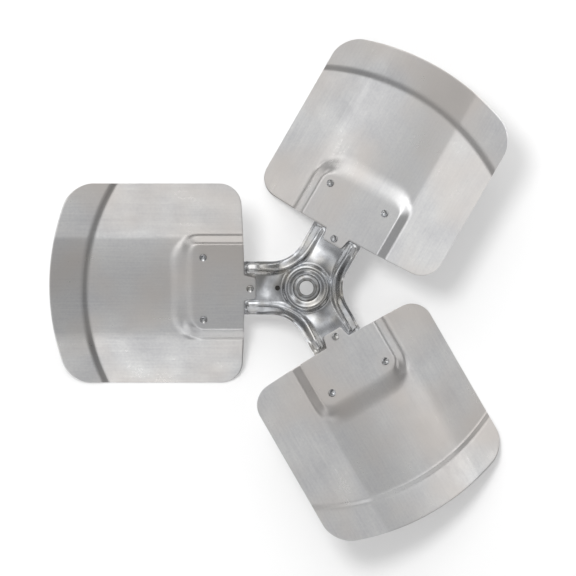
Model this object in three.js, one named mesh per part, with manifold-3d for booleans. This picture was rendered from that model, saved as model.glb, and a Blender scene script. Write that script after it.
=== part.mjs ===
// Three-blade axial fan propeller: pressed aluminium blades riveted to a steel
// spider, with a turned steel hub and two square-head set screws.
// Millimetres, +Z along the shaft towards the face that carries the blades.
import * as THREE from 'three';
import { mergeGeometries, mergeVertices } from 'three/addons/utils/BufferGeometryUtils.js';
import Module from 'manifold-3d';

const wasm = await Module();
wasm.setup();

const { clamp, degToRad, lerp, smoothstep } = THREE.MathUtils;

// ---- driving dimensions (mm, degrees) ----
const GAP = 0.3; // clearance kept where two pieces touch

const ARM_ANGLES = [180, 60, -60]; // direction of each blade, anticlockwise from +X
const ARM_NAMES = ['west', 'northeast', 'southeast'];

const BLADE = {
  sheet: 1.27,
  left: -84.6, // low, long-sloped side
  right: 91.7, // high side
  crease: 44.3, // bend lines either side of the middle panel
  soft: [6, 1.5], // half width of the left bend and of the right one
  pitch: [35, 27, 19], // slope of left wing, middle panel and right wing
  camber: 0.00102, // arch of the middle panel, per mm
  innerEdge: 55,
  innerBow: 3.5, // how far the inner edge has moved out at the sides
  corner: 18,
  tipCentre: [-3.1, 12],
  tipRadius: 215.6,
};
// Curved joggle near the tip, with the strip beyond it flared up a little
const STEP = { centre: [-6.5, 9], radius: 187.8, width: 4, height: 1.8, soft: 1, flare: 0.08 };
// Raised pad over the arm; its wall is steep at the sides and gentle at the end
const PAD = { middle: 0.9, halfWidth: 42.2, end: 110.5, corner: 19, wall: [8.2, 14], soft: [0.9, 4], rise: 2.4 };
const TAB = { reach: 10.2, halfFoot: 11.4, halfTop: 8.5 }; // tongue on the blade's inner edge

const SPIDER = {
  sheet: 2,
  hole: 12.1,
  armHalf: 23.5,
  notchRadius: 31.4, // fillet between neighbouring arms
  paddleHalf: 31, // the arm widens to this under the blade's pad
  widening: [56, 84],
  paddleEnd: 101.5,
  paddleCorner: 18,
  twist: [22, 43.5, 3], // where the flat hub turns into the pitched paddle, and how softly
};
// Raised bead along both sides of an arm, by distance in from the edge, with the rim outside it lower
const BEAD = { foot: 2.2, crest: [7, 8.6], web: 11.6, height: 2.6, rim: -1.4, soft: 0.7, fade: [51, 54.2] };
const DOME = { foot: 22.5, crest: [16.6, 18.4], lip: 12.4, height: 3.2, dip: 2.2 }; // raised ring
const LOCATING_HOLE = { radius: 2.1, reach: 25.7, depth: 1.7 }; // blind, in the west arm only

const HUB = {
  bore: 6.35,
  spigot: 11.8,
  barrel: 15.9,
  face: 8.4, // the flat end round the bore; outside it the end is rolled over the spider
  top: 3.4,
  rollFoot: 0.9,
  shoulder: -1.6,
  bottom: -28,
  chamfer: 0.5,
};
const SCREW = {
  angles: [0, 120], // both sit in a gap between two arms
  z: -15,
  radius: 3.9,
  tip: 7, // distance of the cup point from the axis
  headFrom: 19,
  headSize: 7.9,
  headLength: 6,
};
const RIVET = { shank: 2.3, head: 4.35, headHeight: 1.5, roll: 3.4, rollHeight: 1.1, crater: 1.7 };
const RIVETS = { inner: [0, 50], left: [-27.5, 91.4], right: [27.5, 91.4] }; // across and out along the arm

const [LEFT_SLOPE, SLOPE, RIGHT_SLOPE] = BLADE.pitch.map((angle) => Math.tan(degToRad(angle)));
const TILT = Math.atan(SLOPE);
const PAD_TOP = (GAP + BLADE.sheet) / Math.cos(TILT); // pad's upper face over the spider's
const NOTCH_REACH = (SPIDER.armHalf + SPIDER.notchRadius) / Math.sin(Math.PI / 3); // to a fillet's centre

// ---- pressed shapes: height of each sheet's upper face over its flat plan ----
// (u runs across the blade to its high side, v outwards along the arm's line)
function bladeHeight(u, v) {
  const reach = Math.abs(u - PAD.middle);
  const side = Math.sign(u - PAD.middle);
  const foot = PAD.middle + side * Math.max(reach, PAD.halfWidth + PAD.wall[0] / 2);
  const brow = PAD.middle + side * Math.min(reach, PAD.halfWidth - PAD.wall[0] / 2);
  const beside = smoothstep(reach, PAD.halfWidth - PAD.corner, PAD.halfWidth - PAD.wall[0] / 2)
    * (1 - smoothstep(v, PAD.end - PAD.corner, PAD.end)); // the side walls are flat from brow to foot
  const share = padShare(u, v);
  const panel = panelHeight(share > 0 ? lerp(u, foot, beside) : u);
  const pad = PAD_TOP + SLOPE * lerp(u, brow, beside);
  const beyondStep = Math.hypot(u - STEP.centre[0], v - STEP.centre[1]) - STEP.radius;
  const tip = STEP.height * ramp(beyondStep, -STEP.width / 2, STEP.width / 2, STEP.soft);
  const flare = STEP.flare * Math.max(beyondStep - STEP.width / 2, 0);
  return lerp(panel, pad, share) + tip + flare;
}

function panelHeight(u) { // the middle panel and its two wings
  const outer = rounded(Math.abs(u) - BLADE.crease, BLADE.soft[u < 0 ? 0 : 1]);
  const middle = u - Math.sign(u) * outer;
  const wing = (u < 0 ? LEFT_SLOPE : RIGHT_SLOPE) * (u - middle);
  return PAD_TOP - PAD.rise + SLOPE * middle - BLADE.camber * middle ** 2 + wing;
}

function rounded(x, soft) { // 0 below zero and x above it, rounded over soft either side
  return x < -soft ? 0 : x > soft ? x : (x + soft) ** 2 / (4 * soft);
}

function ramp(x, start, end, soft) { // 0 to 1 in a straight line, rounded over soft at both ends
  return (rounded(x - start, soft) - rounded(x - end, soft)) / (end - start);
}

function padShare(u, v) { // 1 on the raised pad, 0 off it
  const across = Math.abs(u - PAD.middle) - PAD.halfWidth + PAD.corner;
  const along = v - PAD.end + PAD.corner;
  const atCorner = across > 0 && along > 0;
  const outside = (atCorner ? Math.hypot(across, along) : Math.max(across, along)) - PAD.corner;
  const turn = atCorner ? along ** 2 / (across ** 2 + along ** 2) : Number(along > across);
  const wall = lerp(...PAD.wall, turn);
  return 1 - ramp(outside, -wall / 2, wall / 2, lerp(...PAD.soft, turn));
}

function spiderHeight(u, v) {
  const twisted = ramp(v, ...SPIDER.twist);
  const radius = Math.hypot(u, v);
  const dome = DOME.height * (1 - smoothstep(radius, DOME.crest[1], DOME.foot))
    - DOME.dip * (1 - smoothstep(radius, DOME.lip, DOME.crest[0]));
  const inset = spiderInset(u, v);
  const rise = BEAD.rim + (BEAD.height - BEAD.rim) * ramp(inset, BEAD.foot, BEAD.crest[0], BEAD.soft);
  const bead = rise - BEAD.height * ramp(inset, BEAD.crest[1], BEAD.web, BEAD.soft);
  const edging = bead * (1 - smoothstep(v, ...BEAD.fade));
  const level = SLOPE * u * twisted;
  if (radius > DOME.foot) return level + edging;
  return level + (radius < DOME.crest[1] ? dome : Math.max(dome, edging));
}

function spiderInset(u, v) { // distance in from the spider's edge beside the arm
  const beside = NOTCH_REACH * Math.sin(Math.PI / 3);
  const neck = NOTCH_REACH * Math.cos(Math.PI / 3);
  if (v > neck) return SPIDER.armHalf - Math.abs(u);
  return Math.hypot(Math.abs(u) - beside, v - neck) - SPIDER.notchRadius;
}

// ---- plan outlines ----
function cornerCut(distance, radius) { // how far a round corner pulls an edge back
  return radius - Math.sqrt(Math.max(radius ** 2 - Math.max(radius - distance, 0) ** 2, 0));
}

function bladePlan(across, along) { // along: 0 inner edge, 1 and 2 either side of the step, 3 tip
  const u = lerp(BLADE.left, BLADE.right, across);
  const corner = cornerCut(Math.min(u - BLADE.left, BLADE.right - u), BLADE.corner);
  const bow = BLADE.innerBow * (u / BLADE.right) ** 2;
  const tab = TAB.reach * (1 - smoothstep(Math.abs(u), TAB.halfTop, TAB.halfFoot));
  const stretches = [
    BLADE.innerEdge + bow + corner - tab,
    arcReach(STEP.centre, STEP.radius - STEP.width / 2, u),
    arcReach(STEP.centre, STEP.radius + STEP.width / 2, u),
    arcReach(BLADE.tipCentre, BLADE.tipRadius, u) - corner,
  ];
  const stretch = Math.min(Math.floor(along), 2);
  return [u, lerp(stretches[stretch], stretches[stretch + 1], along - stretch)];
}

function arcReach([u0, v0], radius, u) {
  return v0 + Math.sqrt(radius ** 2 - (u - u0) ** 2);
}

// One side of an arm, from its centre line to the middle of the notch beside it.
// across: 0 outer edge, 1 centre line or hub's hole; along: 0 notch, 1 and 2 along the arm, 3 paddle's end
function spiderPlan(across, along) {
  const neck = NOTCH_REACH * Math.cos(Math.PI / 3); // the fillet meets the arm's straight side here
  const reach = SPIDER.armHalf + SPIDER.notchRadius;
  const v = lerp(neck, SPIDER.paddleEnd, along - 2);
  const half = lerp(SPIDER.armHalf, SPIDER.paddleHalf, smoothstep(v, ...SPIDER.widening));
  const turn = (Math.PI / 12) * (2 - along);
  const angle = (Math.PI / 3) * (1 - along);
  const edge = along < 2
    ? [reach - SPIDER.notchRadius * Math.cos(turn), neck - SPIDER.notchRadius * Math.sin(turn)]
    : [half - cornerCut(SPIDER.paddleEnd - v, SPIDER.paddleCorner), v];
  const inside = along < 1
    ? [SPIDER.hole * Math.sin(angle), SPIDER.hole * Math.cos(angle)]
    : [0, along < 2 ? lerp(SPIDER.hole, neck, along - 1) : v];
  return [lerp(edge[0], inside[0], across), lerp(edge[1], inside[1], across)];
}

// ---- sheet metal: a surface over a grid of stations, then its thickness ----
function spread(from, to, count) { // count + 1 evenly spaced values
  return Array.from({ length: count + 1 }, (_, i) => lerp(from, to, i / count));
}

function surface(acrossStations, alongStations, plan, height) { // facing up if plan turns anticlockwise
  const points = alongStations.flatMap((along) => acrossStations.flatMap((across) => {
    const [u, v] = plan(across, along);
    return [u, v, height(u, v)];
  }));
  const columns = acrossStations.length;
  const faces = [];
  for (let row = 0; row < alongStations.length - 1; row++) {
    for (let column = 0; column < columns - 1; column++) {
      const a = row * columns + column;
      faces.push(a, a + 1, a + columns + 1, a, a + columns + 1, a + columns);
    }
  }
  const geometry = new THREE.BufferGeometry();
  geometry.setAttribute('position', new THREE.Float32BufferAttribute(points, 3));
  geometry.setIndex(faces);
  return geometry;
}

function thicken(open, sheet) { // closed sheet: the surface, its copy below, and a wall round every edge
  const top = mergeVertices(open, 1e-3);
  const count = top.attributes.position.count;
  const below = top.clone().translate(0, 0, -sheet / Math.cos(TILT));
  const faces = Array.from(top.index.array);
  const edges = new Map(); // those with a face on one side only
  const closed = [...faces];
  for (let i = 0; i < faces.length; i += 3) {
    const [a, b, c] = faces.slice(i, i + 3);
    closed.push(a + count, c + count, b + count);
    for (const [from, to] of [[a, b], [b, c], [c, a]]) {
      if (!edges.delete(`${to} ${from}`)) edges.set(`${from} ${to}`, [from, to]);
    }
  }
  for (const [a, b] of edges.values()) closed.push(a, a + count, b, b, a + count, b + count);
  const geometry = mergeGeometries([top, below]);
  geometry.setIndex(closed);
  return geometry;
}

// ---- joining and cutting solids ----
function toSolid(geometry) {
  const bare = geometry.clone();
  bare.deleteAttribute('normal');
  bare.deleteAttribute('uv');
  const merged = mergeVertices(bare, 1e-4);
  const faces = [];
  for (let i = 0; i < merged.index.count; i += 3) {
    const face = merged.index.array.slice(i, i + 3);
    if (new Set(face).size === 3) faces.push(...face); // a lathe's faces on its axis have no area
  }
  const vertProperties = new Float32Array(merged.attributes.position.array);
  const triVerts = new Uint32Array(faces);
  return new wasm.Manifold(new wasm.Mesh({ numProp: 3, vertProperties, triVerts }));
}

function toGeometry(solid) {
  const { vertProperties, triVerts } = solid.getMesh();
  const geometry = new THREE.BufferGeometry();
  geometry.setAttribute('position', new THREE.Float32BufferAttribute(vertProperties, 3));
  geometry.setIndex(Array.from(triVerts));
  return geometry;
}

function cut(geometry, cutters) {
  return toGeometry(cutters.reduce((solid, cutter) => solid.subtract(toSolid(cutter)), toSolid(geometry)));
}

function rod(radius, length) { // round bar along Z, centred on the origin
  return new THREE.CylinderGeometry(radius, radius, length, 16).rotateX(Math.PI / 2);
}

function rivetHoles() { // through the pad and the paddle, square to both
  return Object.values(RIVETS).map(([u, v]) => (
    rod(RIVET.shank + GAP, 20).rotateY(-TILT).translate(u, v, SLOPE * u)
  ));
}

// ---- pieces ----
function bladeGeometry() {
  const width = BLADE.right - BLADE.left;
  const cornerSteps = spread(0, Math.PI / 2, 4).map((angle) => BLADE.corner * (1 - Math.cos(angle)));
  const wall = [-1, 0, 1].map((side) => PAD.halfWidth + side * PAD.wall[0] / 2);
  const stations = [
    ...cornerSteps.map((step) => BLADE.left + step),
    ...wall.map((offset) => PAD.middle - offset).reverse(),
    ...[-26, -TAB.halfFoot, -11, -TAB.halfTop, 0, TAB.halfTop, 11, TAB.halfFoot, 26],
    ...wall.map((offset) => PAD.middle + offset),
    60,
    ...cornerSteps.map((step) => BLADE.right - step).reverse(),
  ];
  const across = stations.map((u) => (u - BLADE.left) / width);
  const along = [
    0, 0.05, 0.13, 0.25, ...spread(0.36, 0.49, 5), 0.75, // out to the step, closer at the pad's end
    ...spread(1, 2, 2), // over the step
    2.4, 2.7, 2.9, 3, // out to the tip
  ];
  return cut(thicken(surface(across, along, bladePlan, bladeHeight), BLADE.sheet), rivetHoles());
}

function spiderGeometry() {
  const throat = NOTCH_REACH - SPIDER.notchRadius;
  const beadRings = [0, BEAD.foot, ...BEAD.crest, BEAD.web].map((inset) => throat - inset);
  const rings = [...beadRings, ...DOME.crest.toReversed(), 14.6, SPIDER.hole];
  const across = rings.map((radius) => (throat - radius) / (throat - SPIDER.hole));
  const along = [
    ...spread(0, 1, 4),
    ...spread(1, 2, 6).slice(1),
    ...spread(2, 2.26, 4).slice(1), // over the twist
    ...spread(2.26, 2.34, 3).slice(1), // over the beads' ends
    ...spread(2.34, 2.75, 3).slice(1),
    2.83, 2.9, 2.96, 3,
  ];
  const leftPlan = (a, b) => spiderPlan(a, b).map((value, i) => (i === 0 ? -value : value));
  const rightPlan = (a, b) => spiderPlan(1 - a, b);
  const arm = mergeGeometries([
    surface(across, along, leftPlan, spiderHeight),
    surface(across.map((share) => 1 - share).reverse(), along, rightPlan, spiderHeight),
  ]);
  const whole = mergeGeometries(ARM_ANGLES.map((angle) => arm.clone().rotateZ(degToRad(angle - 90))));
  const holes = ARM_ANGLES.flatMap((angle) => (
    rivetHoles().map((hole) => hole.rotateZ(degToRad(angle - 90)))
  ));
  const locating = rod(LOCATING_HOLE.radius, 2 * LOCATING_HOLE.depth).translate(-LOCATING_HOLE.reach, 0, 0);
  return cut(thicken(whole, SPIDER.sheet), [...holes, locating]);
}

function turned(profile, sides) { // profile of [radius, z], up the outside and down the inside
  return new THREE.LatheGeometry(profile.map(([radius, z]) => new THREE.Vector2(radius, z)), sides)
    .rotateX(Math.PI / 2);
}

function hubGeometry() {
  const roll = spread(0, Math.PI / 2, 3).map((turn) => [
    HUB.face + 0.3 + (HUB.spigot - HUB.face - 0.3) * Math.cos(turn),
    HUB.rollFoot + (HUB.top - HUB.chamfer - HUB.rollFoot) * Math.sin(turn),
  ]);
  const profile = [
    [HUB.bore, HUB.bottom + HUB.chamfer],
    [HUB.bore + HUB.chamfer, HUB.bottom],
    [HUB.barrel - HUB.chamfer, HUB.bottom],
    [HUB.barrel, HUB.bottom + HUB.chamfer],
    [HUB.barrel, HUB.shoulder],
    [HUB.spigot, HUB.shoulder],
    ...roll,
    [HUB.face, HUB.top],
    [HUB.bore + HUB.chamfer, HUB.top],
    [HUB.bore, HUB.top - HUB.chamfer],
    [HUB.bore, HUB.bottom + HUB.chamfer],
  ];
  const tappedHoles = SCREW.angles.map((angle) => rod(SCREW.radius + GAP, HUB.barrel)
    .rotateY(Math.PI / 2).translate(HUB.barrel * 0.75, 0, SCREW.z).rotateZ(degToRad(angle)));
  return cut(turned(profile, 48), tappedHoles);
}

function screwGeometry() { // along +X from the shaft's axis, cup point inwards, with a square head
  const { tip, radius, headFrom } = SCREW;
  const shank = turned([
    [0, tip + 0.8], [1.6, tip], [2.6, tip], [radius, tip + 1.3], [radius, headFrom + 1], [0, headFrom + 1],
  ], 24).rotateY(Math.PI / 2);
  const head = new THREE.BoxGeometry(SCREW.headLength, SCREW.headSize, SCREW.headSize)
    .translate(headFrom + SCREW.headLength / 2, 0, 0);
  return toGeometry(toSolid(shank).add(toSolid(head)));
}

function rivetGeometry() { // along Z, its clinched end up and the two sheets between it and its head
  const top = PAD_TOP * Math.cos(TILT) + GAP;
  const bottom = -SPIDER.sheet - GAP;
  return turned([
    [0, bottom - RIVET.headHeight],
    [RIVET.head * 0.55, bottom - RIVET.headHeight * 0.85],
    [RIVET.head * 0.9, bottom - RIVET.headHeight * 0.4],
    [RIVET.head, bottom],
    [RIVET.shank, bottom],
    [RIVET.shank, top],
    [RIVET.roll, top],
    [RIVET.roll * 0.95, top + RIVET.rollHeight * 0.7],
    [RIVET.roll * 0.75, top + RIVET.rollHeight],
    [RIVET.crater, top + RIVET.rollHeight * 0.6],
    [0, top - RIVET.rollHeight * 0.3],
  ], 12);
}

// ---- assembly ----
function piece(name, geometry, material) {
  const mesh = new THREE.Mesh(geometry, new THREE.MeshStandardMaterial(material));
  mesh.name = name;
  return mesh;
}

const ALUMINIUM = { color: 0xc9cacb, roughness: 0.38, metalness: 1 };
const ZINC = { color: 0xc4c6c8, roughness: 0.25, metalness: 1 };
const STEEL = { color: 0x8f9193, roughness: 0.35, metalness: 1 };
const BLACK_OXIDE = { color: 0x3a3a3c, roughness: 0.5, metalness: 1 };

const propeller = new THREE.Group();
propeller.add(piece('spider', spiderGeometry(), ZINC), piece('hub', hubGeometry(), STEEL));

const blade = bladeGeometry();
const rivet = rivetGeometry();
ARM_ANGLES.forEach((angle, i) => {
  const arm = new THREE.Group();
  arm.rotation.z = degToRad(angle - 90);
  arm.add(piece(`blade_${ARM_NAMES[i]}`, blade, ALUMINIUM));
  for (const [place, [u, v]] of Object.entries(RIVETS)) {
    const fastener = piece(`rivet_${ARM_NAMES[i]}_${place}`, rivet, ZINC);
    fastener.position.set(u, v, SLOPE * u);
    fastener.rotation.y = -TILT;
    arm.add(fastener);
  }
  propeller.add(arm);
});

SCREW.angles.forEach((angle, i) => {
  const screw = piece(`set_screw_${'ab'[i]}`, screwGeometry(), BLACK_OXIDE);
  screw.position.z = SCREW.z;
  screw.rotation.z = degToRad(angle);
  propeller.add(screw);
});

export default propeller;
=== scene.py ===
import math

import bmesh
import bpy
from mathutils import Matrix, Vector


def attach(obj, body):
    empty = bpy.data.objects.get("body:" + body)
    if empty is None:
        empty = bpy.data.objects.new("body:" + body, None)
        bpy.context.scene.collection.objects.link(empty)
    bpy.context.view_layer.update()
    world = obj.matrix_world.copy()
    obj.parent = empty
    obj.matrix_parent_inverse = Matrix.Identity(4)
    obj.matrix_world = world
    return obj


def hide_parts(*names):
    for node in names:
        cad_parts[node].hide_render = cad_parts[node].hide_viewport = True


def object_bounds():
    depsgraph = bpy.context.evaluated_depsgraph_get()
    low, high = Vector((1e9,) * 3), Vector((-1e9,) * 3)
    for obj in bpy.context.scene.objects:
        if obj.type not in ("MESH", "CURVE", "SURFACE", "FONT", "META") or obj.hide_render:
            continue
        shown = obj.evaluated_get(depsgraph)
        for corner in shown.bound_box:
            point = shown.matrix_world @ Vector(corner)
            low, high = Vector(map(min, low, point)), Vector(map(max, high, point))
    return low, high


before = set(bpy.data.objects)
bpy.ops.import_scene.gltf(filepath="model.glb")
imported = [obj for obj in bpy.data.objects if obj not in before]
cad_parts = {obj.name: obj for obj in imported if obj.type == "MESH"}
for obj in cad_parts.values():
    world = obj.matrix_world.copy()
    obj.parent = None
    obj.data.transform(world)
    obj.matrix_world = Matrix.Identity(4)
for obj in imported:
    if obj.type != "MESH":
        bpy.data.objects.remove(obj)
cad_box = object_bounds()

# ---- hub ----
# The hub is a short steel bush turned from bar, with a 12.7 mm bore for the motor shaft. Its upper end is
# rolled over the spider to hold it, and its side has two tapped holes for the set screws.
MM = 0.001
BORE = 6.35
HUB_FACE = 8.4
HUB_SPIGOT = 11.8
HUB_BARREL = 15.9
HUB_TOP = 3.4
HUB_SHOULDER = -1.6
HUB_BOTTOM = -28
HUB_CHAMFER = 0.5
ROLL_FOOT = 0.9
ROLL_INSIDE = 8.7
TURNED_STEEL_GREY = "B4B5B6"
TURNED_STEEL_STAIN = "96938F"
TOOL_MARK = 0.35  # a fine feed of 0.1 mm is drawn this coarse so that it shows


def turned(profile, steps):
    """A closed ring spun about the shaft's axis from a closed profile of (radius, height) in millimetres."""
    bm = bmesh.new()
    corners = [bm.verts.new((radius * MM, 0, height * MM)) for radius, height in profile]
    edges = [bm.edges.new(pair) for pair in zip(corners, corners[1:] + corners[:1])]
    bmesh.ops.spin(bm, geom=corners + edges, cent=(0, 0, 0), axis=(0, 0, 1), angle=math.tau,
                   steps=steps, use_merge=True)
    bmesh.ops.remove_doubles(bm, verts=bm.verts, dist=1e-7)
    bmesh.ops.delete(bm, geom=[edge for edge in bm.edges if edge.is_wire], context="EDGES")
    bmesh.ops.recalc_face_normals(bm, faces=bm.faces)
    return bm


def rod(radius, length, sides=32):
    """A plain round bar along Z, centred on the origin, for drilling holes with."""
    bm = bmesh.new()
    bmesh.ops.create_cone(bm, cap_ends=True, segments=sides, radius1=radius * MM, radius2=radius * MM,
                          depth=length * MM)
    return bm


def joined(parts):
    """Several meshes as one."""
    whole = bmesh.new()
    for part in parts:
        scrap = bpy.data.meshes.new("scrap")
        part.to_mesh(scrap)
        whole.from_mesh(scrap)
        part.free()
        bpy.data.meshes.remove(scrap)
    return whole


def drilled(stock, drills):
    """The stock with every drill cut away from it."""
    blanks = []
    for shape in (stock, joined(drills)):
        mesh = bpy.data.meshes.new("blank")
        shape.to_mesh(mesh)
        shape.free()
        blank = bpy.data.objects.new("blank", mesh)
        bpy.context.scene.collection.objects.link(blank)
        blanks.append(blank)
    cut = blanks[0].modifiers.new("cut", "BOOLEAN")
    cut.operation = "DIFFERENCE"
    cut.solver = "EXACT"
    cut.object = blanks[1]
    result = bmesh.new()
    result.from_object(blanks[0], bpy.context.evaluated_depsgraph_get())
    for blank in blanks:
        bpy.data.meshes.remove(blank.data)
    return result


def set_piece(bm, name, body, cad_node, material, sharp=35):
    """Puts a mesh in the scene, smooth except over edges sharper than the angle, and ties it to the frame."""
    mesh = bpy.data.meshes.new(name)
    bm.to_mesh(mesh)
    bm.free()
    mesh.shade_smooth()
    mesh.set_sharp_from_angle(angle=math.radians(sharp))
    mesh.materials.append(material)
    piece = bpy.data.objects.new(name, mesh)
    bpy.context.scene.collection.objects.link(piece)
    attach(piece, body)
    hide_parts(cad_node)
    return piece


def linear(code):
    """An sRGB hex colour as linear RGBA."""
    shares = [int(code[i:i + 2], 16) / 255 for i in (0, 2, 4)]
    return (*[s / 12.92 if s <= 0.04045 else ((s + 0.055) / 1.055) ** 2.4 for s in shares], 1)


def add(tree, kind, settings=None, sockets=None):
    """Adds a node with its settings. A socket gets a value, or a link where another node's output is given."""
    node = tree.nodes.new(kind)
    for name, value in (settings or {}).items():
        setattr(node, name, value)
    for name, value in (sockets or {}).items():
        if isinstance(value, bpy.types.NodeSocket):
            tree.links.new(value, node.inputs[name])
        else:
            node.inputs[name].default_value = value
    return node


def new_metal(name):
    """An empty metal material: its tree, its shader, and the object's own coordinates."""
    material = bpy.data.materials.new(name)
    material.use_nodes = True
    tree = material.node_tree
    shader = tree.nodes["Principled BSDF"]
    shader.inputs["Metallic"].default_value = 1
    place = add(tree, "ShaderNodeTexCoord").outputs["Object"]
    return material, tree, shader, place


# Bright turned mild steel: round tool marks about the axis, and a little brown-grey staining where oil
# has dried. The marks stretch a highlight into a fan across the face.
def turned_steel():
    material, tree, shader, place = new_metal("turned mild steel")
    flat = add(tree, "ShaderNodeVectorMath", {"operation": "MULTIPLY"}, {0: place, 1: (1, 1, 0)})
    radius = add(tree, "ShaderNodeVectorMath", {"operation": "LENGTH"}, {0: flat.outputs[0]})
    height = add(tree, "ShaderNodeSeparateXYZ", None, {0: place})
    along = add(tree, "ShaderNodeMath", {"operation": "ADD"},
                {0: radius.outputs["Value"], 1: height.outputs["Z"]})
    marks = add(tree, "ShaderNodeTexNoise", {"noise_dimensions": "1D"},
                {"W": along.outputs[0], "Scale": 1 / (TOOL_MARK * MM), "Detail": 2})
    stain = add(tree, "ShaderNodeTexNoise", None, {"Vector": place, "Scale": 1 / (4 * MM), "Detail": 4})
    soft = add(tree, "ShaderNodeMapRange", None,
               {"Value": stain.outputs["Fac"], "From Min": 0.45, "From Max": 0.75})
    colour = add(tree, "ShaderNodeMix", {"data_type": "RGBA"},
                 {0: soft.outputs[0], 6: linear(TURNED_STEEL_GREY), 7: linear(TURNED_STEEL_STAIN)})
    rough = add(tree, "ShaderNodeMapRange", None,
                {"Value": marks.outputs["Fac"], "To Min": 0.22, "To Max": 0.42})
    bump = add(tree, "ShaderNodeBump", None,
               {"Height": marks.outputs["Fac"], "Strength": 0.25, "Distance": 0.05 * MM})
    tree.links.new(colour.outputs[2], shader.inputs["Base Color"])
    tree.links.new(rough.outputs[0], shader.inputs["Roughness"])
    tree.links.new(bump.outputs[0], shader.inputs["Normal"])
    return material


SCREW_HEIGHT = -15
SCREW_RADIUS = 3.9
SCREW_ANGLES = [0, 120]
SCREW_PLAY = 0.3

rolled_over = []
for step in range(10):
    turn = math.pi / 2 * step / 9
    rolled_over.append((ROLL_INSIDE + (HUB_SPIGOT - ROLL_INSIDE) * math.cos(turn),
                        ROLL_FOOT + (HUB_TOP - HUB_CHAMFER - ROLL_FOOT) * math.sin(turn)))
hub = turned([
    (BORE, HUB_BOTTOM + HUB_CHAMFER),
    (BORE + HUB_CHAMFER, HUB_BOTTOM),
    (HUB_BARREL - HUB_CHAMFER, HUB_BOTTOM),
    (HUB_BARREL, HUB_BOTTOM + HUB_CHAMFER),
    (HUB_BARREL, HUB_SHOULDER - HUB_CHAMFER),
    (HUB_BARREL - HUB_CHAMFER, HUB_SHOULDER),
    (HUB_SPIGOT, HUB_SHOULDER),
    *rolled_over,
    (HUB_FACE, HUB_TOP),
    (BORE + HUB_CHAMFER, HUB_TOP),
    (BORE, HUB_TOP - HUB_CHAMFER),
], steps=96)
tapped_holes = []
for angle in SCREW_ANGLES:
    hole = rod(SCREW_RADIUS + SCREW_PLAY, HUB_BARREL)
    reach = Matrix.Translation((HUB_BARREL * 0.75 * MM, 0, SCREW_HEIGHT * MM))
    lie = Matrix.Rotation(math.radians(90), 4, "Y")
    hole.transform(Matrix.Rotation(math.radians(angle), 4, "Z") @ reach @ lie)
    tapped_holes.append(hole)
set_piece(drilled(hub, tapped_holes), "turned_hub", "rotor", "hub", turned_steel(), sharp=25)

# ---- spider ----
# The spider is one pressing of 2 mm steel with three arms. A bead runs along both sides of each arm and
# round the notch into the next, a raised ring stiffens the hub's seat, and each arm twists to the blade's
# pitch.
SPIDER_SHEET = 2
SPIDER_HOLE = 12.1
ARM_HALF = 23.5
NOTCH_RADIUS = 31.4
PADDLE_HALF = 31
PADDLE_END = 101.5
PADDLE_CORNER = 18
WIDENING = (56, 84)
TWIST = (22, 43.5)
TWIST_SOFT = 3
BEAD_FOOT = 2.2
BEAD_CREST = (7, 8.6)
BEAD_WEB = 11.6
BEAD_HEIGHT = 2.6
BEAD_RIM = -1.4
BEAD_SOFT = 0.7
BEAD_FADE = (51, 54.2)
RING_FOOT = 22.5
RING_CREST = (16.6, 18.4)
RING_LIP = 12.4
RING_HEIGHT = 3.2
RING_DIP = 2.2
LOCATING_HOLE = 2.1
LOCATING_REACH = 25.7
LOCATING_DEPTH = 1.7  # blind
# dark grey painted into the locating hole: painted shade for its shadowed inside
HOLE_PAINTED_SHADE = "5E5C59"
ARMS = {"west": 180, "northeast": 60, "southeast": -60}  # direction of each blade, anticlockwise from +X
PITCH = (35, 27, 19)  # slope of a blade's left wing, middle panel and right wing
LEFT_SLOPE, SLOPE, RIGHT_SLOPE = [math.tan(math.radians(angle)) for angle in PITCH]
TILT = math.atan(SLOPE)
ZINC_BRIGHT = "C4C6C9"
ZINC_DULL = "A2A3A6"
ZINC_STRAW = "C9C2B4"
NOTCH_REACH = (ARM_HALF + NOTCH_RADIUS) / math.sin(math.pi / 3)
NECK = NOTCH_REACH * math.cos(math.pi / 3)  # the notch meets the arm's straight side here
ARM_ROWS = (22, 24, 56)
ARM_COLUMNS = 30


def mix(a, b, share):
    return a + (b - a) * share


def ease(x, start, end):
    """0 to 1 in a smooth S."""
    t = min(max((x - start) / (end - start), 0), 1)
    return t * t * (3 - 2 * t)


def ramp(x, start, end, soft):
    """0 to 1 in a straight line, rounded over soft at both ends."""
    total = 0
    for corner, sign in ((start, 1), (end, -1)):
        past = x - corner
        bend = 0 if past < -soft else past if past > soft else (past + soft) ** 2 / (4 * soft)
        total += sign * bend
    return total / (end - start)


def corner_cut(distance, radius):
    """How far a round corner pulls an edge back."""
    return radius - math.sqrt(max(radius ** 2 - max(radius - distance, 0) ** 2, 0))


def edge_distance(u, v):
    """Distance in from the spider's edge beside an arm."""
    if v > NECK:
        return ARM_HALF - abs(u)
    return math.hypot(abs(u) - NOTCH_REACH * math.sin(math.pi / 3), v - NECK) - NOTCH_RADIUS


def spider_height(u, v):
    """Height of the pressing's upper face, u across an arm to its high side and v out along it."""
    twisted = ramp(v, *TWIST, TWIST_SOFT)
    radius = math.hypot(u, v)
    ring = RING_HEIGHT * (1 - ease(radius, RING_CREST[1], RING_FOOT))
    ring -= RING_DIP * (1 - ease(radius, RING_LIP, RING_CREST[0]))
    inset = edge_distance(u, v)
    bead = BEAD_RIM + (BEAD_HEIGHT - BEAD_RIM) * ramp(inset, BEAD_FOOT, BEAD_CREST[0], BEAD_SOFT)
    bead -= BEAD_HEIGHT * ramp(inset, BEAD_CREST[1], BEAD_WEB, BEAD_SOFT)
    bead *= 1 - ease(v, *BEAD_FADE)
    if radius < RING_FOOT:
        bead = ring if radius < RING_CREST[1] else max(ring, bead)
    return SLOPE * u * twisted + bead


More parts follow.
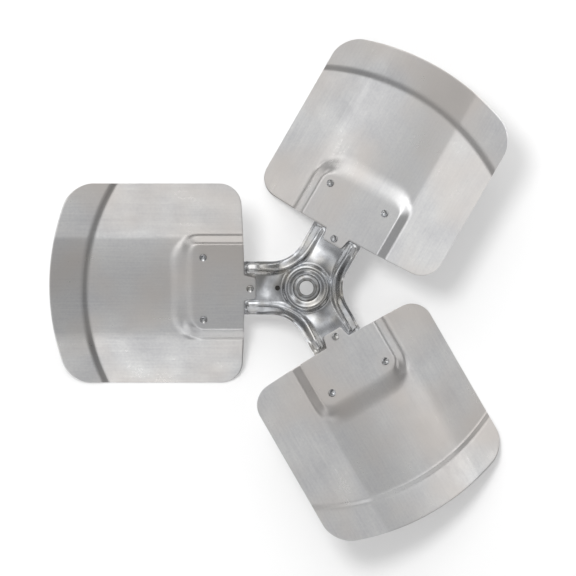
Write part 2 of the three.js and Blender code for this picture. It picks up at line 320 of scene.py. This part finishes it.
def half_arm_plan(across, along):
    """Across: 0 outer edge, 1 centre line or hole. Along: 0 notch, 1 hole's edge, 2 neck, 3 paddle's end."""
    v = mix(NECK, PADDLE_END, along - 2)
    half = mix(ARM_HALF, PADDLE_HALF, ease(v, *WIDENING))
    turn = math.pi / 12 * (2 - along)
    angle = math.pi / 3 * (1 - along)
    if along < 2:
        edge = (ARM_HALF + NOTCH_RADIUS - NOTCH_RADIUS * math.cos(turn), NECK - NOTCH_RADIUS * math.sin(turn))
    else:
        edge = (half - corner_cut(PADDLE_END - v, PADDLE_CORNER), v)
    if along < 1:
        inside = (SPIDER_HOLE * math.sin(angle), SPIDER_HOLE * math.cos(angle))
    else:
        inside = (0, mix(SPIDER_HOLE, NECK, along - 1) if along < 2 else v)
    return mix(edge[0], inside[0], across), mix(edge[1], inside[1], across)


def thicken(bm, sheet, edge_round):
    """Gives an open pressing its thickness downwards, and takes the sharpness off its sheared edges."""
    bmesh.ops.recalc_face_normals(bm, faces=bm.faces)
    if sum(face.normal.z for face in bm.faces) < 0:
        bmesh.ops.reverse_faces(bm, faces=bm.faces)
    rims = [edge for edge in bm.edges if edge.is_boundary]
    copy = bmesh.ops.duplicate(bm, geom=bm.verts[:] + bm.edges[:] + bm.faces[:])
    below = [item for item in copy["geom"] if isinstance(item, bmesh.types.BMVert)]
    bmesh.ops.translate(bm, verts=below, vec=(0, 0, -sheet / math.cos(TILT) * MM))
    bmesh.ops.reverse_faces(bm, faces=[item for item in copy["geom"] if isinstance(item, bmesh.types.BMFace)])
    twin = copy["vert_map"]
    for start, end in [edge.verts for edge in rims]:
        bm.faces.new((start, end, twin[end], twin[start]))
    bmesh.ops.recalc_face_normals(bm, faces=bm.faces)
    corners = [edge for edge in bm.edges if edge.is_manifold and edge.calc_face_angle() > 0.9]
    bmesh.ops.bevel(bm, geom=corners, affect="EDGES", offset=edge_round * MM, segments=2, profile=0.5,
                    material=-1, clamp_overlap=True)
    return bm


RIVET_SHANK = 2.3
RIVET_PLACES = {"inner": (0, 50), "left": (-27.5, 91.4), "right": (27.5, 91.4)}


def rivet_drills():
    """Drills for one arm's rivet holes, square to its blade's pad."""
    drills = []
    for u, v in RIVET_PLACES.values():
        drill = rod(RIVET_SHANK + 0.15, 20)
        drill.transform(Matrix.Translation((u * MM, v * MM, SLOPE * u * MM)) @ Matrix.Rotation(-TILT, 4, "Y"))
        drills.append(drill)
    return drills


def facing(angle):
    """Turns an arm's own frame, which points along +Y, to the arm's direction."""
    return Matrix.Rotation(math.radians(angle - 90), 4, "Z")


# Bright zinc plate on pressed steel: glossy but not a mirror, with a faint straw cast in places and thin dull
# patches where the plating has been handled, and the sheet's fine grain still showing through. The blind
# locating hole's wall and floor are painted dark grey: painted shade for the hole's shadowed inside.
def bright_zinc():
    material, tree, shader, place = new_metal("bright zinc plate")
    patches = add(tree, "ShaderNodeTexNoise", None, {"Vector": place, "Scale": 1 / (9 * MM), "Detail": 5})
    grain = add(tree, "ShaderNodeTexNoise", None, {"Vector": place, "Scale": 1 / (0.8 * MM), "Detail": 3})
    straw = add(tree, "ShaderNodeTexNoise", None, {"Vector": place, "Scale": 1 / (22 * MM), "Detail": 2})
    dull = add(tree, "ShaderNodeMapRange", None,
               {"Value": patches.outputs["Fac"], "From Min": 0.4, "From Max": 0.72})
    cast = add(tree, "ShaderNodeMapRange", None,
               {"Value": straw.outputs["Fac"], "From Min": 0.45, "From Max": 0.75, "To Max": 0.6})
    plate = add(tree, "ShaderNodeMix", {"data_type": "RGBA"},
                {0: dull.outputs[0], 6: linear(ZINC_BRIGHT), 7: linear(ZINC_DULL)})
    colour = add(tree, "ShaderNodeMix", {"data_type": "RGBA"},
                 {0: cast.outputs[0], 6: plate.outputs[2], 7: linear(ZINC_STRAW)})
    # painted shade: the wall and floor of the blind locating hole are painted dark grey
    flat = add(tree, "ShaderNodeVectorMath", {"operation": "MULTIPLY"}, {0: place, 1: (1, 1, 0)})
    from_hole = add(tree, "ShaderNodeVectorMath", {"operation": "DISTANCE"},
                    {0: flat.outputs[0], 1: (-LOCATING_REACH * MM, 0, 0)})
    hole_shade_mask = add(tree, "ShaderNodeMath", {"operation": "LESS_THAN"},
                  {0: from_hole.outputs["Value"], 1: (LOCATING_HOLE + 0.1) * MM})
    colour = add(tree, "ShaderNodeMix", {"data_type": "RGBA"},
                 {0: hole_shade_mask.outputs[0], 6: colour.outputs[2], 7: linear(HOLE_PAINTED_SHADE)})
    rough = add(tree, "ShaderNodeMapRange", None,
                {"Value": patches.outputs["Fac"], "From Min": 0.3, "From Max": 0.75,
                 "To Min": 0.2, "To Max": 0.3})
    bump = add(tree, "ShaderNodeBump", None,
               {"Height": grain.outputs["Fac"], "Strength": 0.15, "Distance": 0.05 * MM})
    tree.links.new(colour.outputs[2], shader.inputs["Base Color"])
    tree.links.new(rough.outputs[0], shader.inputs["Roughness"])
    tree.links.new(bump.outputs[0], shader.inputs["Normal"])
    return material


spider = bmesh.new()
bmesh.ops.create_grid(spider, x_segments=ARM_COLUMNS, y_segments=sum(ARM_ROWS), size=0.5)
for vert in spider.verts:
    row = round((vert.co.y + 0.5) * sum(ARM_ROWS))
    along = 0
    for count in ARM_ROWS:
        along += min(max(row, 0), count) / count
        row -= count
    vert.co.x, vert.co.y = half_arm_plan(vert.co.x + 0.5, along)
bmesh.ops.mirror(spider, geom=spider.verts[:] + spider.edges[:] + spider.faces[:], axis="X", merge_dist=1e-4)
for vert in spider.verts:
    vert.co.z = spider_height(vert.co.x, vert.co.y)
bmesh.ops.scale(spider, verts=spider.verts, vec=(MM, MM, MM))
arm = spider.verts[:] + spider.edges[:] + spider.faces[:]
for angle in (120, 240):
    another = bmesh.ops.duplicate(spider, geom=arm)
    turned_verts = [item for item in another["geom"] if isinstance(item, bmesh.types.BMVert)]
    bmesh.ops.rotate(spider, verts=turned_verts, cent=(0, 0, 0),
                     matrix=Matrix.Rotation(math.radians(angle), 3, "Z"))
bmesh.ops.remove_doubles(spider, verts=spider.verts, dist=1e-6)
spider.transform(facing(ARMS["west"]))
thicken(spider, SPIDER_SHEET, edge_round=0.3)
drills = [rod(LOCATING_HOLE, 2 * LOCATING_DEPTH)]
drills[0].transform(Matrix.Translation((-LOCATING_REACH * MM, 0, 0)))
for angle in ARMS.values():
    for drill in rivet_drills():
        drill.transform(facing(angle))
        drills.append(drill)
zinc = bright_zinc()
set_piece(drilled(spider, drills), "pressed_spider", "rotor", "spider", zinc)

# ---- blades ----
# Each blade is a pressing of 1.27 mm aluminium sheet: a middle panel and two wings bent off it, a raised pad
# that sits on the spider's arm, a tongue on the inner edge, and a curved step that stiffens the tip.
BLADE_SHEET = 1.27
BLADE_LEFT = -84.6
BLADE_RIGHT = 91.7
CREASE = 44.3
CREASE_SOFT = (6, 1.5)  # the left bend is rounder than the right one
CAMBER = 0.00102
INNER_EDGE = 55
INNER_BOW = 3.5
BLADE_CORNER = 18
TIP_CENTRE = (-3.1, 12)
TIP_RADIUS = 215.6
STEP_CENTRE = (-6.5, 9)
STEP_RADIUS = 187.8
STEP_WIDTH = 4
STEP_HEIGHT = 1.8
STEP_SOFT = 1
TIP_FLARE = 0.08  # slope of the strip beyond the step
PAD_MIDDLE = 0.9
PAD_HALF = 42.2
PAD_END = 110.5
PAD_CORNER = 19
PAD_WALL = (8.2, 14)  # steep at the sides, gentle at the end
PAD_SOFT = (0.9, 4)
PAD_RISE = 2.4
TAB_REACH = 10.2
TAB_HALF_FOOT = 11.4
TAB_HALF_TOP = 8.5
CLEARANCE = 0.3
PAD_TOP = (CLEARANCE + BLADE_SHEET) / math.cos(TILT)
BLADE_ROWS = (104, 8, 22)
ALUMINIUM_PALE = "DDDDDC"
ALUMINIUM_GREY = "C9C9CB"
ALUMINIUM_WARM = "D6D0CB"
ROLL_STREAK = (1.6, 46)  # width and length of a rolling streak, drawn coarser than the real 0.2 mm
CLOUD = 34
MOTTLE = 2.2


def pad_share(u, v):
    """1 on the raised pad, 0 off it."""
    across = abs(u - PAD_MIDDLE) - PAD_HALF + PAD_CORNER
    along = v - PAD_END + PAD_CORNER
    if across <= 0 or along <= 0:
        outside = max(across, along)
        turn = 1 if along > across else 0
    else:
        outside = math.hypot(across, along)
        turn = (along / outside) ** 2
    wall = mix(*PAD_WALL, turn)
    return 1 - ramp(outside - PAD_CORNER, -wall / 2, wall / 2, mix(*PAD_SOFT, turn))


def panel_height(u):
    """The middle panel and its wings, without the pad or the step."""
    past = abs(u) - CREASE
    soft = CREASE_SOFT[0 if u < 0 else 1]
    bent = 0 if past < -soft else past if past > soft else (past + soft) ** 2 / (4 * soft)
    middle = u - math.copysign(bent, u)
    wing = (LEFT_SLOPE if u < 0 else RIGHT_SLOPE) * (u - middle)
    return PAD_TOP - PAD_RISE + SLOPE * middle - CAMBER * middle ** 2 + wing


def blade_height(u, v):
    """Height of a blade's upper face, u across to its high side and v out along the arm."""
    reach = abs(u - PAD_MIDDLE)
    foot = PAD_MIDDLE + math.copysign(max(reach, PAD_HALF + PAD_WALL[0] / 2), u - PAD_MIDDLE)
    brow = PAD_MIDDLE + math.copysign(min(reach, PAD_HALF - PAD_WALL[0] / 2), u - PAD_MIDDLE)
    beside = 1 - ease(v, PAD_END - PAD_CORNER, PAD_END)
    beside *= ease(reach, PAD_HALF - PAD_CORNER, PAD_HALF - PAD_WALL[0] / 2)
    share = pad_share(u, v)
    panel = panel_height(mix(u, foot, beside) if share > 0 else u)
    past_step = math.hypot(u - STEP_CENTRE[0], v - STEP_CENTRE[1]) - STEP_RADIUS
    tip = STEP_HEIGHT * ramp(past_step, -STEP_WIDTH / 2, STEP_WIDTH / 2, STEP_SOFT)
    tip += TIP_FLARE * max(past_step - STEP_WIDTH / 2, 0)
    return mix(panel, PAD_TOP + SLOPE * mix(u, brow, beside), share) + tip


def arc_reach(centre, radius, u):
    return centre[1] + math.sqrt(radius ** 2 - (u - centre[0]) ** 2)


def blade_plan(u, along):
    """How far out a point is. Along: 0 inner edge, 1 and 2 either side of the step, 3 tip."""
    corner = corner_cut(min(u - BLADE_LEFT, BLADE_RIGHT - u), BLADE_CORNER)
    tab = TAB_REACH * (1 - ease(abs(u), TAB_HALF_TOP, TAB_HALF_FOOT))
    lines = [
        INNER_EDGE + INNER_BOW * (u / BLADE_RIGHT) ** 2 + corner - tab,
        arc_reach(STEP_CENTRE, STEP_RADIUS - STEP_WIDTH / 2, u),
        arc_reach(STEP_CENTRE, STEP_RADIUS + STEP_WIDTH / 2, u),
        arc_reach(TIP_CENTRE, TIP_RADIUS, u) - corner,
    ]
    stretch = min(int(along), 2)
    return mix(lines[stretch], lines[stretch + 1], along - stretch)


# Mill-finish aluminium sheet, as it leaves the rolling mill: soft pale grey, with faint streaks in the
# rolling direction, cloudy patches where the rolls and the press have polished it, and a warm or cool cast.
def mill_aluminium(name, angle, seed):
    material, tree, shader, place = new_metal(name)
    shift = (seed * 0.37, seed * 0.19, 0)
    lay = add(tree, "ShaderNodeMapping", None,
              {"Vector": place, "Rotation": (0, 0, -math.radians(angle - 90)), "Location": shift})
    width, length = ROLL_STREAK
    stretched = add(tree, "ShaderNodeMapping", None,
                    {"Vector": lay.outputs[0],
                     "Scale": (1 / (width * MM), 1 / (length * MM), 1 / (length * MM))})
    streaks = add(tree, "ShaderNodeTexNoise", None,
                  {"Vector": stretched.outputs[0], "Scale": 1, "Detail": 4, "Roughness": 0.6})
    clouds = add(tree, "ShaderNodeTexNoise", None,
                 {"Vector": lay.outputs[0], "Scale": 1 / (CLOUD * MM), "Detail": 4, "Roughness": 0.55})
    mottle = add(tree, "ShaderNodeTexNoise", None,
                 {"Vector": lay.outputs[0], "Scale": 1 / (MOTTLE * MM), "Detail": 3})
    cast = add(tree, "ShaderNodeTexNoise", None,
               {"Vector": lay.outputs[0], "Scale": 1 / (2.2 * CLOUD * MM), "Detail": 2})
    fine = add(tree, "ShaderNodeMix", {"data_type": "FLOAT"},
               {0: 0.45, 2: streaks.outputs["Fac"], 3: mottle.outputs["Fac"]})
    both = add(tree, "ShaderNodeMix", {"data_type": "FLOAT"},
               {0: 0.45, 2: fine.outputs[0], 3: clouds.outputs["Fac"]})
    depth = add(tree, "ShaderNodeMapRange", None,
                {"Value": both.outputs[0], "From Min": 0.36, "From Max": 0.64})
    warmth = add(tree, "ShaderNodeMapRange", None,
                 {"Value": cast.outputs["Fac"], "From Min": 0.42, "From Max": 0.66, "To Max": 0.8})
    grey = add(tree, "ShaderNodeMix", {"data_type": "RGBA"},
               {0: depth.outputs[0], 6: linear(ALUMINIUM_GREY), 7: linear(ALUMINIUM_PALE)})
    colour = add(tree, "ShaderNodeMix", {"data_type": "RGBA"},
                 {0: warmth.outputs[0], 6: grey.outputs[2], 7: linear(ALUMINIUM_WARM)})
    rough = add(tree, "ShaderNodeMapRange", None,
                {"Value": both.outputs[0], "From Min": 0.36, "From Max": 0.64,
                 "To Min": 0.34, "To Max": 0.27})
    bump = add(tree, "ShaderNodeBump", None,
               {"Height": fine.outputs[0], "Strength": 0.2, "Distance": 0.04 * MM})
    tree.links.new(colour.outputs[2], shader.inputs["Base Color"])
    tree.links.new(rough.outputs[0], shader.inputs["Roughness"])
    tree.links.new(bump.outputs[0], shader.inputs["Normal"])
    return material


def spread(start, end, count):
    return [mix(start, end, i / count) for i in range(count)]


corner_steps = [BLADE_CORNER * (1 - math.cos(math.pi / 2 * i / 12)) for i in range(12)]
stations = [BLADE_LEFT + step for step in corner_steps]
stations += spread(BLADE_LEFT + BLADE_CORNER, -CREASE, 18)
stations += spread(-CREASE, CREASE, 78)
stations += spread(CREASE, BLADE_RIGHT - BLADE_CORNER, 24)
stations += [BLADE_RIGHT - BLADE_CORNER]
stations += [BLADE_RIGHT - step for step in reversed(corner_steps)]

for seed, (place_name, angle) in enumerate(ARMS.items()):
    blade = bmesh.new()
    bmesh.ops.create_grid(blade, x_segments=len(stations) - 1, y_segments=sum(BLADE_ROWS), size=0.5)
    for vert in blade.verts:
        u = stations[round((vert.co.x + 0.5) * (len(stations) - 1))]
        row = round((vert.co.y + 0.5) * sum(BLADE_ROWS))
        along = 0
        for count in BLADE_ROWS:
            along += min(max(row, 0), count) / count
            row -= count
        v = blade_plan(u, along)
        vert.co = (u * MM, v * MM, blade_height(u, v) * MM)
    thicken(blade, BLADE_SHEET, edge_round=0.2)
    blade = drilled(blade, rivet_drills())
    blade.transform(facing(angle))
    metal = mill_aluminium(f"mill-finish aluminium, {place_name} blade", angle, seed)
    set_piece(blade, f"{place_name}_blade", "rotor", f"blade_{place_name}", metal, sharp=40)

# ---- rivets ----
# Nine plated semi-tubular rivets hold the blades, two through each pad and one through the tongue. The tube's
# end is rolled outwards over the blade and leaves a crater; the round head is behind the spider.
RIVET_HEAD = 4.35
HEAD_HEIGHT = 1.5
ROLL_RADIUS = 3.4
ROLL_HEIGHT = 1.1
CRATER = 2.3
CRATER_DEPTH = 1.7
HEAD_STEPS = 8
ROLL_STEPS = 6
CRATER_STEPS = 8

rivet_top = PAD_TOP * math.cos(TILT) + CLEARANCE
rivet_bottom = -SPIDER_SHEET - CLEARANCE
head_curve = []
for i in range(HEAD_STEPS + 1):
    turn = math.pi / 2 * i / HEAD_STEPS
    head_curve.append((RIVET_HEAD * math.sin(turn), rivet_bottom - HEAD_HEIGHT * math.cos(turn)))
lip = (ROLL_RADIUS + CRATER) / 2
roll_curve = []
for i in range(ROLL_STEPS + 1):
    turn = math.pi / 2 * i / ROLL_STEPS
    roll_curve.append((lip + (ROLL_RADIUS - lip) * math.cos(turn), rivet_top + ROLL_HEIGHT * math.sin(turn)))
for i in range(1, CRATER_STEPS + 1):
    out = 1 - i / CRATER_STEPS
    roll_curve.append((lip * out, rivet_top + ROLL_HEIGHT - CRATER_DEPTH * (1 - out ** 2)))
for place_name, angle in ARMS.items():
    for rivet_name, (u, v) in RIVET_PLACES.items():
        rivet = turned([
            *head_curve,
            (RIVET_SHANK, rivet_bottom),
            (RIVET_SHANK, rivet_top),
            *roll_curve,
        ], steps=40)
        rivet.transform(facing(angle) @ Matrix.Translation((u * MM, v * MM, SLOPE * u * MM))
                        @ Matrix.Rotation(-TILT, 4, "Y"))
        node = f"rivet_{place_name}_{rivet_name}"
        set_piece(rivet, f"{place_name}_{rivet_name}_rivet", "rotor", node, zinc, sharp=50)

# ---- set screws ----
# Two square-head set screws of hardened steel with a black oxide finish stand in the hub's tapped holes. Each
# has a cut thread and a cup point that bites on the shaft's flat. Thread, core and head are three closed
# shells that overlap inside.
SCREW_TIP = 7
THREAD_END = 18.4
THREAD_PITCH = 1.41
THREAD_DEPTH = 0.6
HEAD_FROM = 19
HEAD_SIZE = 7.9
HEAD_LENGTH = 6
HEAD_EDGE = 0.5
CUP_RADIUS = 1.6
CUP_DEPTH = 0.8
POINT_RADIUS = 2.5
POINT_LENGTH = 1.1
ON_PLANE = 1e-7  # metres within which an edge lies on the plane that cuts the thread
OXIDE_BLACK = "3E3F42"
OXIDE_WORN = "7B7A78"


# Black oxide on hardened steel: a thin blue-black skin with an oily gloss, rubbed to bare grey steel in
# scattered patches.
def black_oxide():
    material, tree, shader, place = new_metal("black oxide on steel")
    rubbed = add(tree, "ShaderNodeTexNoise", None, {"Vector": place, "Scale": 1 / (1.5 * MM), "Detail": 6})
    wear = add(tree, "ShaderNodeMapRange", None,
               {"Value": rubbed.outputs["Fac"], "From Min": 0.52, "From Max": 0.7})
    colour = add(tree, "ShaderNodeMix", {"data_type": "RGBA"},
                 {0: wear.outputs[0], 6: linear(OXIDE_BLACK), 7: linear(OXIDE_WORN)})
    rough = add(tree, "ShaderNodeMapRange", None,
                {"Value": rubbed.outputs["Fac"], "To Min": 0.5, "To Max": 0.3})
    bump = add(tree, "ShaderNodeBump", None,
               {"Height": rubbed.outputs["Fac"], "Strength": 0.2, "Distance": 0.05 * MM})
    tree.links.new(colour.outputs[2], shader.inputs["Base Color"])
    tree.links.new(rough.outputs[0], shader.inputs["Roughness"])
    tree.links.new(bump.outputs[0], shader.inputs["Normal"])
    return material


def set_screw():
    """The thread of a screw along +Z from the shaft's axis, without its neck and head."""
    steps = 24
    turns = math.ceil((THREAD_END - SCREW_TIP) / THREAD_PITCH) + 2
    thread = bmesh.new()
    start = SCREW_TIP - THREAD_PITCH
    ridge = [thread.verts.new(((SCREW_RADIUS - depth) * MM, 0, (start + share * THREAD_PITCH) * MM))
             for share, depth in ((0, THREAD_DEPTH), (0.44, 0), (0.56, 0), (1, THREAD_DEPTH))]
    lines = [thread.edges.new(pair) for pair in zip(ridge, ridge[1:])]
    bmesh.ops.spin(thread, geom=ridge + lines, cent=(0, 0, 0), axis=(0, 0, 1), angle=math.tau * turns,
                   steps=steps * turns, dvec=(0, 0, THREAD_PITCH * MM / steps))
    bmesh.ops.remove_doubles(thread, verts=thread.verts, dist=1e-6)
    for height, side in ((SCREW_TIP + 0.9, -1), (THREAD_END, 1)):
        everything = thread.verts[:] + thread.edges[:] + thread.faces[:]
        bmesh.ops.bisect_plane(thread, geom=everything, plane_co=(0, 0, height * MM), plane_no=(0, 0, side),
                               clear_outer=True)
        opening = [edge for edge in thread.edges if edge.is_boundary
                   and all(abs(vert.co.z - height * MM) < ON_PLANE for vert in edge.verts)]
        bmesh.ops.holes_fill(thread, edges=opening)
    bmesh.ops.recalc_face_normals(thread, faces=thread.faces)
    return thread


oxide = black_oxide()
for letter, angle in zip("ab", SCREW_ANGLES):
    screw = set_screw()
    neck = turned([
        (0, SCREW_TIP + CUP_DEPTH),
        (CUP_RADIUS, SCREW_TIP),
        (POINT_RADIUS, SCREW_TIP),
        (SCREW_RADIUS - THREAD_DEPTH, SCREW_TIP + POINT_LENGTH),
        (SCREW_RADIUS - THREAD_DEPTH, HEAD_FROM + 1),
        (0, HEAD_FROM + 1),
    ], steps=32)
    head = bmesh.new()
    bmesh.ops.create_cube(head, size=1)
    bmesh.ops.scale(head, vec=(HEAD_SIZE * MM, HEAD_SIZE * MM, HEAD_LENGTH * MM), verts=head.verts)
    bmesh.ops.translate(head, vec=(0, 0, (HEAD_FROM + HEAD_LENGTH / 2) * MM), verts=head.verts)
    bmesh.ops.bevel(head, geom=head.edges[:], affect="EDGES", offset=HEAD_EDGE * MM, segments=3, profile=0.5,
                    material=-1)
    screw = joined([screw, neck, head])
    screw.transform(Matrix.Rotation(math.radians(angle), 4, "Z")
                    @ Matrix.Translation((0, 0, SCREW_HEIGHT * MM))
                    @ Matrix.Rotation(math.radians(90), 4, "Y"))
    set_piece(screw, f"square_head_screw_{letter}", f"screw_{letter}", f"set_screw_{letter}",
              oxide)

# ---- floor, light and camera ----
# The propeller lies on white paper in a tent whose cloth is lit unevenly by height. Soft boxes stand outside
# its walls, one wide dark panel shades one side, and a lamp high on the upper left casts the soft shadow.
FLOOR = "DFDFDF"
FLOOR_GLOW = 0.22
FLOOR_HALF = 60
LAMP_TURN = 130
LAMP_TILT = 17
LAMP_DISTANCE = 2.5
LAMP_SIZE = 0.6
LAMP_WATTS = 28
# Brightness by height on the tent, 0 at the floor's edge and 1 overhead. These levels and the boxes below
# weren't set by hand: a solver chose them to give each facet its tone, and they were then rounded.
TENT = [
    (0, 0.1),
    (0.3, 0.17),
    (0.44, 0.52),
    (0.52, 0.49),
    (0.6, 0.41),
    (0.68, 0.16),
    (0.8, 1),
    (0.92, 0.58),
    (1, 0.1),
]
# Each box's direction, angle from overhead and half width in degrees, and brightness. One below 0 is a dark
# panel.
SOFT_BOXES = [
    (108, 26, 18, 1.17),
    (100, 61, 26, 1.06),
    (144, 66, 9, 1.33),
    (-96, 74, 8, 2),
    (-109, 40, 9.5, 1),
    (37, 65, 9, 1.5),
    (-55, 75, 42, -0.11),
]
BOX_EDGE = 6
BACKDROP = "E6E6E6"  # what shows behind the floor from the side, in place of the dark tent wall
CAMERA_HEIGHT = 4
FIELD = 0.510
AIM = -0.0164

floor = bmesh.new()
bmesh.ops.create_grid(floor, x_segments=1, y_segments=1, size=FLOOR_HALF)
bmesh.ops.translate(floor, verts=floor.verts, vec=(0, 0, cad_box[0].z))
floor_mesh = bpy.data.meshes.new("floor")
floor.to_mesh(floor_mesh)
floor.free()
floor_piece = bpy.data.objects.new("floor", floor_mesh)
bpy.context.scene.collection.objects.link(floor_piece)
paper = bpy.data.materials.new("white paper")
paper.use_nodes = True
paper_shader = paper.node_tree.nodes["Principled BSDF"]
paper_shader.inputs["Base Color"].default_value = linear(FLOOR)
paper_shader.inputs["Roughness"].default_value = 0.9
paper_shader.inputs["Emission Color"].default_value = linear("FFFFFF")
paper_shader.inputs["Emission Strength"].default_value = FLOOR_GLOW
floor_mesh.materials.append(paper)

tent = bpy.data.worlds.new("tent")
tent.use_nodes = True
tree = tent.node_tree
sight = add(tree, "ShaderNodeTexCoord").outputs["Generated"]
height = add(tree, "ShaderNodeSeparateXYZ", None, {0: sight})
levels = add(tree, "ShaderNodeValToRGB", None, {"Fac": height.outputs["Z"]})
stops = levels.color_ramp.elements
while len(stops) < len(TENT):
    stops.new(0.5)
for stop, (position, level) in zip(stops, TENT):
    stop.position = position
    stop.color = (level, level, level, 1)
light = levels.outputs["Color"]
for direction, down, half, level in SOFT_BOXES:
    across = math.sin(math.radians(down))
    aim = (across * math.cos(math.radians(direction)), across * math.sin(math.radians(direction)),
           math.cos(math.radians(down)))
    cosine = add(tree, "ShaderNodeVectorMath", {"operation": "DOT_PRODUCT"}, {0: sight, 1: aim})
    off = add(tree, "ShaderNodeMath", {"operation": "ARCCOSINE"}, {0: cosine.outputs["Value"]})
    box = add(tree, "ShaderNodeMapRange", None,
              {"Value": off.outputs[0], "From Min": math.radians(half - BOX_EDGE),
               "From Max": math.radians(half + BOX_EDGE), "To Min": level, "To Max": 0})
    lit = add(tree, "ShaderNodeVectorMath", {"operation": "ADD"}, {0: light, 1: box.outputs[0]})
    light = lit.outputs[0]
seen = add(tree, "ShaderNodeLightPath").outputs["Is Camera Ray"]
wall = add(tree, "ShaderNodeMix", {"data_type": "RGBA"}, {0: seen, 6: light, 7: linear(BACKDROP)})
tree.links.new(wall.outputs[2], tree.nodes["Background"].inputs["Color"])
bpy.context.scene.world = tent

lamp = bpy.data.lights.new("lamp", "AREA")
lamp.shape = "DISK"
lamp.size = LAMP_SIZE
lamp.energy = LAMP_WATTS
lamp_holder = bpy.data.objects.new("lamp", lamp)
bpy.context.scene.collection.objects.link(lamp_holder)
hang = (Matrix.Rotation(math.radians(LAMP_TURN - 90), 3, "Z")
        @ Matrix.Rotation(math.radians(-LAMP_TILT), 3, "X"))
lamp_holder.location = hang @ Vector((0, 0, LAMP_DISTANCE))
lamp_holder.rotation_euler = hang.to_euler()
lamp_holder.visible_glossy = False

camera = bpy.data.cameras.new("camera")
camera.sensor_width = 36
camera.lens = 36 * CAMERA_HEIGHT / FIELD
camera.clip_end = 200
camera_holder = bpy.data.objects.new("camera", camera)
bpy.context.scene.collection.objects.link(camera_holder)
camera_holder.location = (AIM, 0, CAMERA_HEIGHT)
bpy.context.scene.camera = camera_holder
bpy.context.scene.view_settings.view_transform = "Standard"
